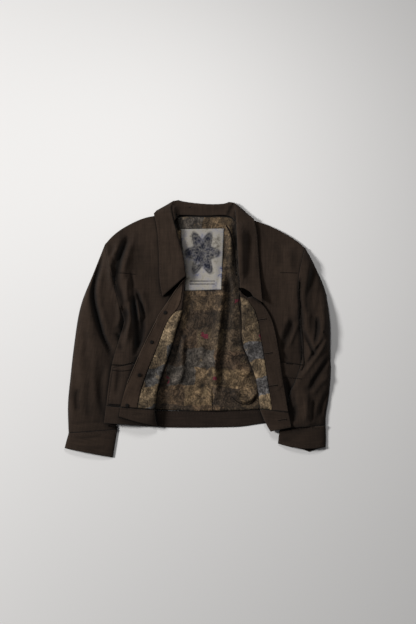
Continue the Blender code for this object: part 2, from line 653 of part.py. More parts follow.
# The solids
STUFF = {"back_lining": (LINING, "lining"), "front_lining_left": (LINING, "lining"),
         "front_lining_right": (LINING, "lining"), "label": (TAPE, "label"), "collar": (DOUBLED, "wool"),
         "back_waistband": (DOUBLED, "wool")}
for name, points in pieces.items():
    thickness, stuff = STUFF.get(name, (WOOL, "wool"))
    sewn(name, [points], thickness, stuff)

# Stay buttons on the left facing, square to it
facing = pieces["facing_left"]
facing_up = normals(facing) * np.sign(normals(facing)[..., 2:3])
for number, place in enumerate(BUTTONS, 1):
    spots = [(r, c) for r in np.arange(0.0, FRONT_ROWS_FOLD - 1, 0.1) for c in np.arange(0.5, 3.5, 0.1)]
    row, column = min(spots, key=lambda spot: np.linalg.norm(at(facing, *spot)[:2] - np.array(place)))
    square = Vector(at(facing_up, row, column)).normalized()
    seat = Vector(at(facing, row, column)) + square * (WOOL / 2 + GAP + BUTTON_HEIGHT / 2)
    bm = bmesh.new()
    bmesh.ops.create_cone(bm, cap_ends=True, segments=16, radius1=BUTTON_RADIUS * MM,
                          radius2=BUTTON_RADIUS * MM, depth=BUTTON_HEIGHT * MM)
    mesh = bpy.data.meshes.new("button_left_%d" % number)
    bm.to_mesh(mesh)
    bm.free()
    button = bpy.data.objects.new(mesh.name, mesh)
    collection.objects.link(button)
    button.parent = jacket
    button.location = seat * MM
    button.rotation_euler = square.to_track_quat("Z", "Y").to_euler()
    dressed(button, "button")

# The origin is under the middle of the jacket's box
bpy.context.view_layer.update()
low = np.full(3, 1e9)
high = np.full(3, -1e9)
graph = bpy.context.evaluated_depsgraph_get()
for piece in collection.objects:
    if piece.type == "MESH":
        shaped = piece.evaluated_get(graph).to_mesh()
        co = np.array([piece.matrix_world @ vert.co for vert in shaped.vertices])
        low = np.minimum(low, co.min(axis=0))
        high = np.maximum(high, co.max(axis=0))
        piece.evaluated_get(graph).to_mesh_clear()
jacket.location = (-(low[0] + high[0]) / 2, -(low[1] + high[1]) / 2, -low[2])
print("jacket of", len(collection.objects) - 1, "pieces, size in mm:", np.round((high - low) / MM, 1))
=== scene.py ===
# %% [markdown]
# # A cropped work jacket, laid open on a pale floor
# The jacket lies on its back. Both fronts are turned back like long lapels, so that the patchwork lining
# shows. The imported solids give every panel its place. Here each panel gets fine folds, seams, sewing and
# its cloth.

# %% Load the solids
import math

import bpy
import bmesh
import numpy as np
from mathutils import Matrix, Vector
from mathutils.bvhtree import BVHTree


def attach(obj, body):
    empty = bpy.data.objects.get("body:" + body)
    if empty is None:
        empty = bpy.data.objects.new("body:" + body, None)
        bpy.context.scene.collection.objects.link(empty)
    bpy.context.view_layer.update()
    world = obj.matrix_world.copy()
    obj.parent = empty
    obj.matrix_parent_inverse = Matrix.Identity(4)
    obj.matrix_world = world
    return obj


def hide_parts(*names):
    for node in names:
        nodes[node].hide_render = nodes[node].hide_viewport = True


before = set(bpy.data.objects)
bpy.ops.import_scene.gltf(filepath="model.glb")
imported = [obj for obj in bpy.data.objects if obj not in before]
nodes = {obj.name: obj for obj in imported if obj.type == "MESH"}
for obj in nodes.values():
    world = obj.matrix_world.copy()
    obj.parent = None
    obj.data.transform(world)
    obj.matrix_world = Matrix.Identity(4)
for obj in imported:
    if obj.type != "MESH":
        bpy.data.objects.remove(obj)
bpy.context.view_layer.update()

# %% [markdown]
# ## Places on the jacket
# All tables below are in millimetres from the middle of the hem, x to the right and y towards the collar,
# because that is how a pattern is marked out. The far corner of the left cuff says where that middle is.
# One function turns marks into places in the scene, and another draws a smooth line through a few of
# them.

# %% Pattern places
MM = 0.001
CUFF_REACH = (377.77, 82.12)
CURVE_STEPS = 16
cuff_corner = np.array([vert.co[:2] for vert in nodes["cuff_left"].data.vertices]).min(axis=0)
HEM = cuff_corner + np.array(CUFF_REACH) * MM


def place(points):
    """Scene places of pattern marks."""
    return np.asarray(points, float) * MM + HEM


def drawn(marks, count=40):
    """A smooth line through a few marked points, as count places at equal steps."""
    rows = place(marks)
    ends = np.vstack([2 * rows[0] - rows[1], rows, 2 * rows[-1] - rows[-2]])
    t = np.linspace(0, 1, CURVE_STEPS, endpoint=False)[:, None]
    fine = [0.5 * (2 * b + (c - a) * t + (2 * a - 5 * b + 4 * c - d) * t ** 2
                   + (3 * b - a - 3 * c + d) * t ** 3)
            for a, b, c, d in zip(ends, ends[1:], ends[2:], ends[3:])]
    fine = np.vstack(fine + [rows[-1:]])
    run = np.concatenate([[0], np.cumsum(np.linalg.norm(np.diff(fine, axis=0), axis=1))])
    steps = np.linspace(0, run[-1], count)
    return np.stack([np.interp(steps, run, fine[:, k]) for k in (0, 1)], axis=1)


print("middle of the hem at", HEM.round(4))

# %% [markdown]
# ## Material tools
# Colours are written as the hex values a screen shows, and one function turns them into the linear light
# that the shader works in. Another adds a shader node with its settings and links, so each finish reads
# as a list. Every cloth gets painted shade in its colour: it darkens where little of the room is open
# within 40 mm, and where an attribute called trough says that a deep fold runs.

# %% Material tools


def colour(code):
    """Linear light from a screen's hex colour."""
    parts = [int(code[i:i + 2], 16) / 255 for i in (1, 3, 5)]
    return tuple(c / 12.92 if c <= 0.04045 else ((c + 0.055) / 1.055) ** 2.4 for c in parts) + (1.0,)


def add(tree, kind, links=(), settings=(), **values):
    """A node: attributes by name, socket values in settings, links as (socket, source node, output)."""
    node = tree.nodes.new("ShaderNode" + kind)
    for name, value in values.items():
        setattr(node, name, value)
    for socket, value in dict(settings).items():
        node.inputs[socket].default_value = value
    for socket, source, output in links:
        tree.links.new(source.outputs[output], node.inputs[socket])
    return node


def ramp(tree, source, output, stops, interpolation="LINEAR"):
    """A colour ramp with (position, hex) stops."""
    node = add(tree, "ValToRGB", [(0, source, output)])
    node.color_ramp.interpolation = interpolation
    while len(node.color_ramp.elements) < len(stops):
        node.color_ramp.elements.new(0.5)
    for element, (position, code) in zip(node.color_ramp.elements, stops):
        element.position = position
        element.color = colour(code)
    return node


def finish(name, roughness, specular=0.3, sheen=0.0):
    """A new material with its node tree and its shader."""
    material = bpy.data.materials.new(name)
    material.use_nodes = True
    shader = material.node_tree.nodes["Principled BSDF"]
    shader.inputs["Roughness"].default_value = roughness
    shader.inputs["Specular IOR Level"].default_value = specular
    shader.inputs["Sheen Weight"].default_value = sheen
    shader.inputs["Sheen Roughness"].default_value = 0.6
    return material, material.node_tree, shader


def one_colour(name, code, roughness, specular):
    """A finish of one colour, for thread and other things too small to show more."""
    material, _, shader = finish(name, roughness, specular)
    shader.inputs["Base Color"].default_value = colour(code)
    return material


# Painted shade in creases: how far the occlusion looks, where a crease counts as closed, and how dark
# closed creases and deep troughs are drawn.
CREASE = 0.040
CREASE_CLOSED = 0.45
CREASE_SHADE = 0.05
TROUGH_SHADE = 0.25


def painted_shade_and_bump(tree, shader, tint, height, strength, distance):
    """Links a colour and a bump height to the shader, with painted shade in creases and troughs."""
    bump = add(tree, "Bump", [("Height", *height)], {"Strength": strength, "Distance": distance})
    # Painted shade: the colour darkens where the occlusion finds the room closed, and over troughs.
    open_sky = add(tree, "AmbientOcclusion", (), {"Distance": CREASE}, samples=8)
    painted_crease_shade = add(tree, "MapRange", [("Value", open_sky, "AO")],
               {"From Min": CREASE_CLOSED, "To Min": CREASE_SHADE})
    trough = add(tree, "Attribute", attribute_name="trough")
    depth = add(tree, "MapRange", [("Value", trough, "Fac")], {"To Min": 1.0, "To Max": TROUGH_SHADE})
    dark = add(tree, "Math", [(0, painted_crease_shade, 0), (1, depth, 0)], operation="MULTIPLY")
    painted_shade_tint = add(tree, "VectorMath", [(0, *tint), ("Scale", dark, 0)], operation="SCALE")
    tree.links.new(painted_shade_tint.outputs[0], shader.inputs["Base Color"])
    tree.links.new(bump.outputs[0], shader.inputs["Normal"])


print("material tools ready")

# %% [markdown]
# ## Brown wool and linen cloth
# The outer cloth is a dry, dark brown weave of uneven yarn. Thick and thin places in the yarn show as
# short streaks down the grain and a few across, so a noise is stretched both ways. The real yarn, about
# 0.8 mm, is too fine for this picture, so the streaks are drawn 4 mm wide. The grain follows each panel
# through its own UV map. The inside of the back's hem band is drawn in a darker copy of the cloth, and
# the left facing in a paler one.

# %% Wool and linen cloth
STREAK = (0.0042, 0.060)
WORN_PATCH = 0.07
WOOL_CRUMPLE = 0.022
WOOL_RELIEF = (0.55, 0.0022)


def brown_cloth(name, dark, light):
    """Streaky wool and linen between two shades."""
    material, tree, shader = finish(name, 0.95, 0.10, 0.05)
    grain = add(tree, "UVMap", uv_map="grain")
    width, length = STREAK
    along = add(tree, "Mapping", [("Vector", grain, "UV")], {"Scale": (1 / width, 1 / length, 1.0)})
    across = add(tree, "Mapping", [("Vector", grain, "UV")], {"Scale": (1 / length, 1 / width, 1.0)})
    uneven = {"Scale": 1.0, "Detail": 3.0, "Roughness": 0.65}
    streaks = add(tree, "TexNoise", [("Vector", along, 0)], uneven)
    slubs = add(tree, "TexNoise", [("Vector", across, 0)], uneven)
    worn = add(tree, "TexNoise", [("Vector", grain, "UV")],
               {"Scale": 1 / WORN_PATCH, "Detail": 5.0, "Roughness": 0.6})
    yarn = add(tree, "Mix", [("A", streaks, 0), ("B", slubs, 0)], {"Factor": 0.35}, data_type="FLOAT")
    mixed = add(tree, "Mix", [("A", yarn, 0), ("B", worn, 0)], {"Factor": 0.4}, data_type="FLOAT")
    tone = ramp(tree, mixed, 0, [(0.36, dark), (0.64, light)])
    crumple = add(tree, "TexNoise", [("Vector", grain, "UV")], {"Scale": 1 / WOOL_CRUMPLE, "Detail": 3.0})
    height = add(tree, "Math", [(0, yarn, 0), (2, crumple, 0)], {1: 0.35}, operation="MULTIPLY_ADD")
    painted_shade_and_bump(tree, shader, (tone, 0), (height, 0), *WOOL_RELIEF)
    return material


wool = brown_cloth("brown_wool_linen", "#1f1711", "#332820")
inside_wool = brown_cloth("inside_of_brown_wool_linen", "#1a130e", "#2b211b")
turned_wool = brown_cloth("turned_edge_of_brown_wool_linen", "#261c15", "#3e3127")
print("cloth:", wool.name, inside_wool.name, turned_wool.name)

# %% [markdown]
# ## Patchwork lining
# The lining is pieced from faded scraps in olive, khaki, brown and slate, with a few crimson bits, rubbed
# and stained all over. Two brick patterns that wander a little make the scraps, in a layout of their own.
# Fine noise gives the stains, a bent wave the drawn lines, and rare small cells the bright bits. The strips
# on the turned-back flaps are paler and pieced in broad bands. All sizes are real ones in metres: a stain
# is about 13 mm across and a bright bit 19 mm.

# %% Patchwork lining
BACK_SCRAPS = [(0.0, "#3d3327"), (0.13, "#524332"), (0.26, "#342a21"), (0.38, "#5d4d39"), (0.50, "#47382b"),
               (0.62, "#2d251e"), (0.74, "#695740"), (0.85, "#42403d"), (0.93, "#4d3d2d")]
FLAP_SCRAPS = [(0.0, "#484a4d"), (0.20, "#786851"), (0.38, "#4c4030"), (0.55, "#685944"), (0.70, "#3d4042"),
               (0.85, "#5d4f3c")]
SMALL_SCRAP = (0.034, 0.023)
STRAY = 0.034
STRAY_WAVE = 0.03
BLOT = 0.032
STAIN = 0.013
DRAWN_LINE = 0.034
RUBBED_PLACE = 0.045
BRIGHT_BIT = 0.019
RARE = 0.991
LINING_CRUMPLE = 0.017
LINING_RELIEF = (0.9, 0.006)


def patchwork(name, scrap, palette, turn, shift=(0.0, 0.0)):
    """Pieced cotton: scrap is the size of a piece, turn and shift lay the pieces out."""
    material, tree, shader = finish(name, 0.8, 0.22)
    spot = add(tree, "TexCoord")
    wander = add(tree, "TexNoise", [("Vector", spot, "Object")], {"Scale": 1 / STRAY_WAVE, "Detail": 4.0})
    push = add(tree, "VectorMath", [(0, wander, "Color")], {1: (0.5, 0.5, 0.5)}, operation="SUBTRACT")
    moved = add(tree, "VectorMath", [(0, push, 0), (2, spot, "Object")], {1: (STRAY, STRAY, 0.0)},
                operation="MULTIPLY_ADD")
    turned = add(tree, "Mapping", [("Vector", moved, 0)],
                 {"Rotation": (0.0, 0.0, turn), "Location": (*shift, 0.0)})
    even = {"Color1": (0, 0, 0, 1), "Color2": (1, 1, 1, 1), "Scale": 1.0, "Mortar Size": 0.0}
    scraps = add(tree, "TexBrick", [("Vector", turned, 0)],
                 {**even, "Brick Width": scrap[0], "Row Height": scrap[1]}, offset=0.37)
    pieces = add(tree, "TexBrick", [("Vector", moved, 0)],
                 {**even, "Brick Width": SMALL_SCRAP[0], "Row Height": SMALL_SCRAP[1]}, offset=0.3)
    base = ramp(tree, scraps, 0, palette, "CONSTANT")
    faded = add(tree, "Mix", [("A", base, 0)], {"Factor": 0.3, "B": colour("#4d3f30")}, data_type="RGBA")
    over = add(tree, "MapRange", [("Value", pieces, 0)], {"To Min": 0.62, "To Max": 1.30})
    blots = add(tree, "TexNoise", [("Vector", spot, "Object")],
                {"Scale": 1 / BLOT, "Detail": 6.0, "Roughness": 0.65})
    cloud = add(tree, "MapRange", [("Value", blots, 0)],
                {"From Min": 0.38, "From Max": 0.62, "To Min": 0.5, "To Max": 1.5})
    stain = add(tree, "TexNoise", [("Vector", moved, 0)],
                {"Scale": 1 / STAIN, "Detail": 9.0, "Roughness": 0.8})
    depth = add(tree, "MapRange", [("Value", stain, 0)],
                {"From Min": 0.34, "From Max": 0.66, "To Min": 0.25, "To Max": 1.75})
    lines = add(tree, "TexWave", [("Vector", moved, 0)],
                {"Scale": 1 / DRAWN_LINE, "Distortion": 14.0, "Detail": 5.0, "Detail Scale": 3.0})
    drawing = add(tree, "MapRange", [("Value", lines, 1)], {"To Min": 0.5, "To Max": 1.3})
    shaded = over
    for tone in (depth, cloud, drawing):
        shaded = add(tree, "Math", [(0, shaded, 0), (1, tone, 0)], operation="MULTIPLY")
    stained = add(tree, "VectorMath", [(0, faded, 2), ("Scale", shaded, 0)], operation="SCALE")
    rub = add(tree, "TexNoise", [("Vector", spot, "Object")],
              {"Scale": 1 / RUBBED_PLACE, "Detail": 9.0, "Roughness": 0.75})
    pale = add(tree, "MapRange", [("Value", rub, 0)],
               {"From Min": 0.58, "From Max": 0.68, "To Min": 0.0, "To Max": 0.6})
    rubbed = add(tree, "Mix", [("Factor", pale, 0), ("A", stained, 0)], {"B": colour("#8d795a")},
                 data_type="RGBA")
    bits = add(tree, "TexVoronoi", [("Vector", moved, 0)], {"Scale": 1 / BRIGHT_BIT, "Randomness": 1.0},
               distance="MANHATTAN")
    bit = add(tree, "SeparateColor", [(0, bits, "Color")])
    rare = add(tree, "Math", [(0, bit, 1)], {1: RARE}, operation="GREATER_THAN")
    bright = add(tree, "Mix", [("Factor", rare, 0), ("A", rubbed, 2)], {"B": colour("#5c222c")},
                 data_type="RGBA")
    crumple = add(tree, "TexNoise", [("Vector", spot, "Object")],
                  {"Scale": 1 / LINING_CRUMPLE, "Detail": 5.0, "Roughness": 0.65})
    painted_shade_and_bump(tree, shader, (bright, 2), (crumple, 0), *LINING_RELIEF)
    return material


lining_cloth = patchwork("faded_patchwork_cotton", (0.078, 0.052), BACK_SCRAPS, 0.05)
flap_cloth = patchwork("pale_patchwork_cotton", (0.200, 0.048), FLAP_SCRAPS, -0.25, (0.30, 1.272))
print("linings:", lining_cloth.name, flap_cloth.name)

# %% [markdown]
# ## Label cotton
# The label is washed off-white cotton with a worn blue-grey stamp and blue-violet blots. The stamp is a
# plain rosette with rings, drawn by its angle and distance from the label's middle, over two plain rules.

# %% Label cotton
LABEL_MIDDLE = (-6, 470)
ROSETTE = (0.050, 0.066)
PETALS = 6.0
PETAL_DEPTH = 0.20
PETAL_REACH = 0.78
RINGS = 19.0
RULES = (-0.076, -0.084)
RULE_SIZE = (0.034, 0.0012)
INK_WEAR = 0.012
WASH_PATCH = 0.03
COTTON = [(0.32, "#5f5a52"), (0.45, "#948f86"), (0.56, "#8a8788"), (0.66, "#4b5272")]
LABEL_RELIEF = (0.4, 0.002)


def stamped_cotton(name):
    """Off-white cotton with the rosette and the rules."""
    material, tree, shader = finish(name, 0.9, 0.15)
    spot = add(tree, "TexCoord")
    middle = place([LABEL_MIDDLE])[0]
    local = add(tree, "VectorMath", [(0, spot, "Object")], {1: (*middle, 0.0)}, operation="SUBTRACT")
    sized = add(tree, "VectorMath", [(0, local, 0)], {1: (1 / ROSETTE[0], 1 / ROSETTE[1], 0.0)},
                operation="MULTIPLY")
    parts = add(tree, "SeparateXYZ", [(0, sized, 0)])
    angle = add(tree, "Math", [(0, parts, 1), (1, parts, 0)], operation="ARCTAN2")
    turns = add(tree, "Math", [(0, angle, 0)], {1: PETALS}, operation="MULTIPLY")
    wave = add(tree, "Math", [(0, turns, 0)], operation="COSINE")
    radius = add(tree, "VectorMath", [(0, sized, 0)], operation="LENGTH")
    petal = add(tree, "Math", [(0, wave, 0)], {1: PETAL_DEPTH, 2: PETAL_REACH}, operation="MULTIPLY_ADD")
    inside = add(tree, "Math", [(0, petal, 0), (1, radius, "Value")], operation="SUBTRACT")
    flower = add(tree, "MapRange", [("Value", inside, 0)], {"From Min": -0.06, "From Max": 0.08})
    rings = add(tree, "Math", [(0, inside, 0)], {1: RINGS}, operation="MULTIPLY")
    ridges = add(tree, "Math", [(0, rings, 0)], operation="COSINE")
    inked = add(tree, "MapRange", [("Value", ridges, 0)],
                {"From Min": -1.0, "From Max": 0.2, "To Min": 0.80, "To Max": 1.0})
    ruled = add(tree, "Math", [(0, flower, 0), (1, inked, 0)], operation="MULTIPLY")
    drop = add(tree, "SeparateXYZ", [(0, local, 0)])
    short = add(tree, "Math", [(0, drop, 0)], {1: 0.0, 2: RULE_SIZE[0]}, operation="COMPARE")
    for level in RULES:
        off = add(tree, "Math", [(0, drop, 1)], {1: level}, operation="SUBTRACT")
        rule = add(tree, "Math", [(0, off, 0)], {1: 0.0, 2: RULE_SIZE[1]}, operation="COMPARE")
        line = add(tree, "Math", [(0, rule, 0), (1, short, 0)], operation="MULTIPLY")
        ruled = add(tree, "Math", [(0, ruled, 0), (1, line, 0)], operation="MAXIMUM")
    wear = add(tree, "TexNoise", [("Vector", spot, "Object")],
               {"Scale": 1 / INK_WEAR, "Detail": 8.0, "Roughness": 0.75})
    thin = add(tree, "MapRange", [("Value", wear, 0)],
               {"From Min": 0.32, "From Max": 0.54, "To Min": 0.35, "To Max": 1.0})
    ink = add(tree, "Math", [(0, ruled, 0), (1, thin, 0)], operation="MULTIPLY")
    wash = add(tree, "TexNoise", [("Vector", spot, "Object")],
               {"Scale": 1 / WASH_PATCH, "Detail": 7.0, "Roughness": 0.75})
    cotton = ramp(tree, wash, 0, COTTON)
    tint = add(tree, "Mix", [("Factor", ink, 0), ("A", cotton, 0)], {"B": colour("#1d1f29")},
               data_type="RGBA")
    painted_shade_and_bump(tree, shader, (tint, 2), (wash, 0), *LABEL_RELIEF)
    return material


label_cotton = stamped_cotton("washed_label_cotton")
print("label:", label_cotton.name)

# %% [markdown]
# ## Buttons and thread
# The buttons are dull black and give a small soft highlight. The thread is a shade lighter than the
# cloth.

# %% Button and thread finishes
horn = one_colour("dull_black_button", "#0f0d0b", 0.6, 0.12)
thread = one_colour("brown_thread", "#3b3028", 0.7, 0.2)
# Near black: dark seams and buttonhole slits, painted shade in gaps and hollows, and the neck loop.
shade = one_colour("near_black_seams_and_painted_shade", "#120e0b", 0.9, 0.1)
print("small finishes:", horn.name, thread.name, shade.name)

# %% [markdown]
# ## Folds
# Cloth that was dropped flat keeps long soft folds: from the shoulders down into the sleeves, across the
# fronts under the arms, and in the loose lining. Each row gives where a fold runs, how wide it is and how
# high it stands, or how deep a trough lies if it is below zero. They are placed from the picture.
# A sleeve and the front beside it share one table, because their folds run on across the armhole.

# %% Folds of the left side
FOLDS = {}
FOLDS["left"] = [
    ([(-274, 468), (-282, 440), (-296, 390), (-299, 350), (-289, 300), (-274, 248), (-259, 216),
      (-244, 178)], 6, -10.0),
    ([(-296, 460), (-310, 400), (-315, 350), (-306, 300), (-290, 250)], 9, 3.0),
    ([(-266, 440), (-280, 390), (-282, 345), (-268, 290), (-255, 245)], 8, 3.5),
    ([(-255, 485), (-244, 452), (-236, 425)], 5, -3.0),
    ([(-204, 516), (-218, 484), (-232, 440), (-237, 396), (-224, 350), (-216, 318)], 7, -11.0),
    ([(-186, 532), (-196, 495), (-208, 455), (-218, 415), (-210, 370)], 9, 6.0),
    ([(-224, 512), (-244, 466), (-254, 415), (-250, 368)], 8, 6.5),
    ([(-216, 324), (-212, 298), (-217, 272), (-230, 250)], 7, -9.0),
    ([(-236, 256), (-230, 228), (-222, 205)], 5, -6.0),
    ([(-203, 338), (-199, 294), (-206, 258), (-210, 222)], 7, 8.5),
    ([(-234, 336), (-229, 300), (-236, 266)], 6, 7.0),
    ([(-197, 424), (-193, 388), (-190, 350), (-187, 318)], 5, -4.5),
    ([(-191, 356), (-187, 312), (-183, 270), (-180, 232), (-185, 190)], 8, -11.0),
    ([(-170, 300), (-166, 272), (-172, 240), (-182, 214)], 8, -9.0),
    ([(-206, 404), (-209, 362), (-205, 336)], 6, 5.0),
    ([(-186, 374), (-178, 352), (-168, 318), (-160, 288)], 5, -7.5),
    ([(-182, 345), (-177, 312), (-175, 284)], 5, 5.5),
    ([(-170, 372), (-160, 338), (-150, 308)], 8, 3.0),
    ([(-240, 225), (-246, 190), (-240, 150), (-246, 100)], 7, 2.0),
    ([(-226, 160), (-232, 120), (-238, 84)], 6, -2.5),
    ([(-340, 105), (-344, 75), (-341, 40)], 6, -4.0),
    ([(-307, 135), (-312, 80), (-308, 15)], 9, -3.0),
    ([(-326, 240), (-334, 175), (-326, 100)], 10, 2.5),
    ([(-290, 210), (-297, 130), (-288, 50)], 9, 2.5),
    ([(-270, 170), (-279, 100), (-270, 25)], 8, -3.0),
    ([(-355, 150), (-358, 90), (-353, 15)], 8, 2.0),
    ([(-322, 270), (-318, 220), (-322, 190)], 7, -2.0),
    ([(-364, 8), (-320, 12), (-262, 14)], 4, -2.0),
    ([(-362, -28), (-320, -30), (-268, -22)], 4, -2.0),
    ([(-355, -46), (-310, -50), (-262, -46)], 6, 1.6),
]
print("left folds:", len(FOLDS["left"]))

# %% [markdown]
# ## Folds of the right side
# The right sleeve lies over the right front. Its folds run down from the shoulder, bend at the elbow and
# gather above the cuff, and the front has a few of its own beside it.

# %% Folds of the right side
FOLDS["right"] = [
    ([(263, 408), (257, 366), (260, 320), (264, 284), (264, 234), (267, 190), (272, 158)], 6, -10.0),
    ([(246, 430), (240, 385), (242, 340), (249, 290)], 10, 4.0),
    ([(294, 440), (285, 390), (276, 350), (279, 300)], 8, -5.5),
    ([(308, 410), (299, 350), (294, 300)], 8, 3.0),
    ([(304, 300), (304, 262), (298, 222)], 5, -6.5),
    ([(318, 330), (321, 285), (316, 240)], 8, 3.0),
    ([(269, 264), (280, 234), (292, 204), (298, 190)], 4, -6.0),
    ([(338, 248), (313, 208), (286, 172), (260, 136), (238, 100)], 8, 6.5),
    ([(324, 242), (296, 200), (274, 164), (250, 128)], 5, -5.0),
    ([(338, 192), (313, 152), (295, 124), (282, 96)], 7, -7.5),
    ([(338, 140), (308, 114), (290, 86)], 8, 4.0),
    ([(336, 100), (318, 62), (312, 28)], 7, -4.5),
    ([(296, 76), (292, 45), (289, 14)], 5, -4.5),
    ([(276, 96), (274, 55), (272, 14)], 7, 4.0),
    ([(247, 66), (242, 34), (238, 10)], 7, -4.0),
    ([(214, 140), (224, 100), (231, 62), (240, 14)], 15, -7.0),
    ([(238, 290), (232, 262), (221, 238), (206, 208)], 6, -7.0),
    ([(250, 280), (240, 250), (226, 214)], 6, 4.5),
    ([(226, 300), (214, 268), (204, 240)], 7, 3.0),
    ([(214, 204), (219, 190), (226, 182)], 3, -2.5),
    ([(190, 500), (204, 470), (206, 430)], 10, -2.5),
    ([(166, 424), (186, 405), (206, 398)], 5, 1.5),
    ([(226, 490), (233, 440), (230, 395)], 12, 3.0),
    ([(240, 60), (244, 90), (250, 112)], 5, -2.0),
]
print("right folds:", len(FOLDS["right"]))

# %% [markdown]
# ## Folds of the lining and the label
# A lining is cut wider than the back, so that the back can move. Lying flat, it stands up in long loose
# folds and a few short curls near the hem. The label on it only waves a little.

# %% Folds of the lining and the label
FOLDS["lining"] = [
    ([(58, 460), (50, 380), (42, 300), (35, 230), (28, 170), (30, 70)], 11, 12.0),
    ([(74, 450), (67, 370), (58, 295), (50, 220), (45, 160), (46, 90)], 8, -6.0),
    ([(84, 440), (82, 340), (78, 250), (74, 180)], 12, 3.5),
    ([(-56, 250), (-62, 190), (-60, 150), (-68, 126), (-90, 104)], 9, 9.0),
    ([(-46, 240), (-50, 178), (-56, 140), (-68, 100)], 6, -2.5),
    ([(-16, 250), (-6, 215), (-12, 180)], 8, 2.5),
    ([(6, 262), (14, 232), (8, 200)], 6, 2.0),
    ([(76, 98), (94, 77), (122, 74), (140, 96)], 7, 9.0),
    ([(72, 84), (94, 62), (126, 59), (142, 80)], 5, -2.5),
    ([(76, 176), (88, 154), (106, 146), (128, 150)], 9, 7.0),
    ([(-70, 74), (-30, 66), (20, 72)], 7, 2.0),
    ([(20, 102), (21, 70), (21, 46)], 3, -1.5),
    ([(66, 552), (70, 500), (71, 450), (72, 400), (80, 360)], 8, 9.0),
    ([(90, 520), (86, 460), (90, 400)], 5, -2.0),
    ([(-82, 548), (-66, 562), (-40, 560)], 7, 3.0),
    ([(20, 556), (44, 548), (64, 552)], 7, 2.5),
    ([(30, 330), (-10, 318), (-50, 330)], 7, 1.8),
]
FOLDS["label"] = [
    ([(36, 536), (30, 450), (34, 380)], 9, 1.2),
    ([(-40, 530), (-44, 450), (-36, 375)], 10, 1.0),
]
print("lining and label folds:", len(FOLDS["lining"]), len(FOLDS["label"]))

# %% [markdown]
# ## Folds of the collar
# The leaf rolls over the stand in one broad fold on each side. The right leaf sinks in its middle, and
# the stand is a little hollow at the back neck.

# %% Folds of the collar
FOLDS["collar"] = [
    ([(88, 552), (96, 500), (97, 440), (94, 385)], 22, 12.5),
    ([(119, 530), (117, 455), (114, 392)], 11, -5.0),
    ([(-50, 588), (0, 586), (50, 590)], 9, -2.0),
    ([(136, 520), (136, 450), (140, 390)], 7, 2.0),
    ([(-60, 550), (-60, 500), (-56, 440), (-54, 410)], 18, 6.0),
    ([(-82, 600), (-84, 578), (-76, 550), (-68, 515)], 9, 9.0),
    ([(79, 604), (71, 586), (63, 568)], 5, -4.0),
    ([(66, 602), (58, 584), (52, 570)], 6, 2.0),
    ([(-100, 560), (-102, 500), (-98, 440)], 10, 1.0),
]
print("folds in all:", sum(len(rows) for rows in FOLDS.values()))

# %% [markdown]
# ## Eased edges
# Where two panels meet no gap may show, so a few edges are eased towards each other. The shoulder tips
# sink to the floor, and the right flap is drawn down a little where it leaves the collar. Each row gives
# the line, how far around it the cloth follows, and the way it is eased.

# %% Eased edges
LEFT_ARMHOLE = [(-268, 493), (-241, 388), (-214, 284)]
RIGHT_ARMHOLE = [(272, 483), (264, 440), (257, 400), (256, 369), (257, 330), (261, 290), (266, 255),
                 (267, 200), (262, 152)]
LOWER_RIGHT_SLEEVE = [(245, 118), (228, 80)]
LEFT_TIP = [(-300, 505), (-268, 492), (-240, 470)]
RIGHT_TIP = [(240, 500), (272, 482), (304, 455)]
RIGHT_POINT = [(94, 371), (108, 367), (128, 355)]
COLLAR_POINT = [(90, 367), (110, 364), (130, 352)]
BACK_HEM_SEAM = [(-160, 46), (-126, 44.5), (-60, 44), (0, 43.5), (80, 44.5), (146, 47.5), (170, 49)]
LEFT_FOLD = [(-50, 430), (-56, 350), (-63, 304), (-77, 264), (-93, 205), (-114, 148), (-129, 95),
             (-134, 40)]
LEFT_UNDERARM = [(-204, 318), (-213, 286), (-223, 252), (-235, 216), (-247, 176)]
LEFT_HEM_SEAM = [(-300, 60), (-262, 60.5), (-240, 60.5), (-215, 58)]
LEFT_CUFF_SEAM = [(-400, -17), (-360, -13.5), (-300, -8), (-241, -3.5), (-205, 0)]
RIGHT_CUFF_SEAM = [(170, -14), (204, -10), (262, -2), (325, 3), (360, 5)]
FOLD_UP = (LEFT_FOLD, 13, (0.0, 0.0, 5.0))
POINT_DOWN = (RIGHT_POINT, 12, (-2.0, -8.0, -1.0))
NUDGES = {
    "front_left": [(LEFT_ARMHOLE, 8, (-4.0, -1.0, -3.0)), (LEFT_TIP, 16, (0.0, 0.0, -10.0)), FOLD_UP,
                   (LEFT_UNDERARM, 8, (0.0, 0.0, -3.0))],
    "front_lining_left": [FOLD_UP],
    "waistband_left": [(LEFT_HEM_SEAM, 6, (0.0, 1.5, 1.5))],
    "cuff_left": [(LEFT_CUFF_SEAM, 6, (0.0, 1.2, 1.5))],
    "cuff_right": [(RIGHT_CUFF_SEAM, 7, (0.0, 1.5, 2.5))],
    "sleeve_left": [(LEFT_ARMHOLE, 12, (1.0, 0.3, 6.0)), (LEFT_CUFF_SEAM, 6, (0.0, -0.6, -1.2)),
                    (LEFT_UNDERARM, 11, (8.0, 2.0, 1.0))],
    "front_right": [(RIGHT_ARMHOLE[:6], 14, (3.0, 0.0, 6.0)), POINT_DOWN],
    "facing_right": [POINT_DOWN],
    "front_lining_right": [POINT_DOWN],
    "back_lining": [(BACK_HEM_SEAM, 7, (0.0, -3.0, 0.6))],
    "sleeve_right": [(RIGHT_ARMHOLE + LOWER_RIGHT_SLEEVE, 9, (-6.0, 0.0, -3.0)),
                     (RIGHT_TIP, 16, (0.0, 0.0, -10.0)), (RIGHT_CUFF_SEAM, 7, (0.0, -1.0, -2.5))],
    "collar": [(COLLAR_POINT, 8, (1.0, 7.0, 0.0))],
}
print("eased panels:", len(NUDGES))

# %% [markdown]
# ## Finer cloth from a solid
# A copy of the solid is merged, cut finer, and softened so that its facets melt into one cloth surface
# while its cut edges stay. A subdivision surface would round the cut edges off, so plain cutting and
# smoothing is used.

# %% Cutting and softening
FINE = 0.0052
WELD = 2e-5
CUT_ROUNDS = 8


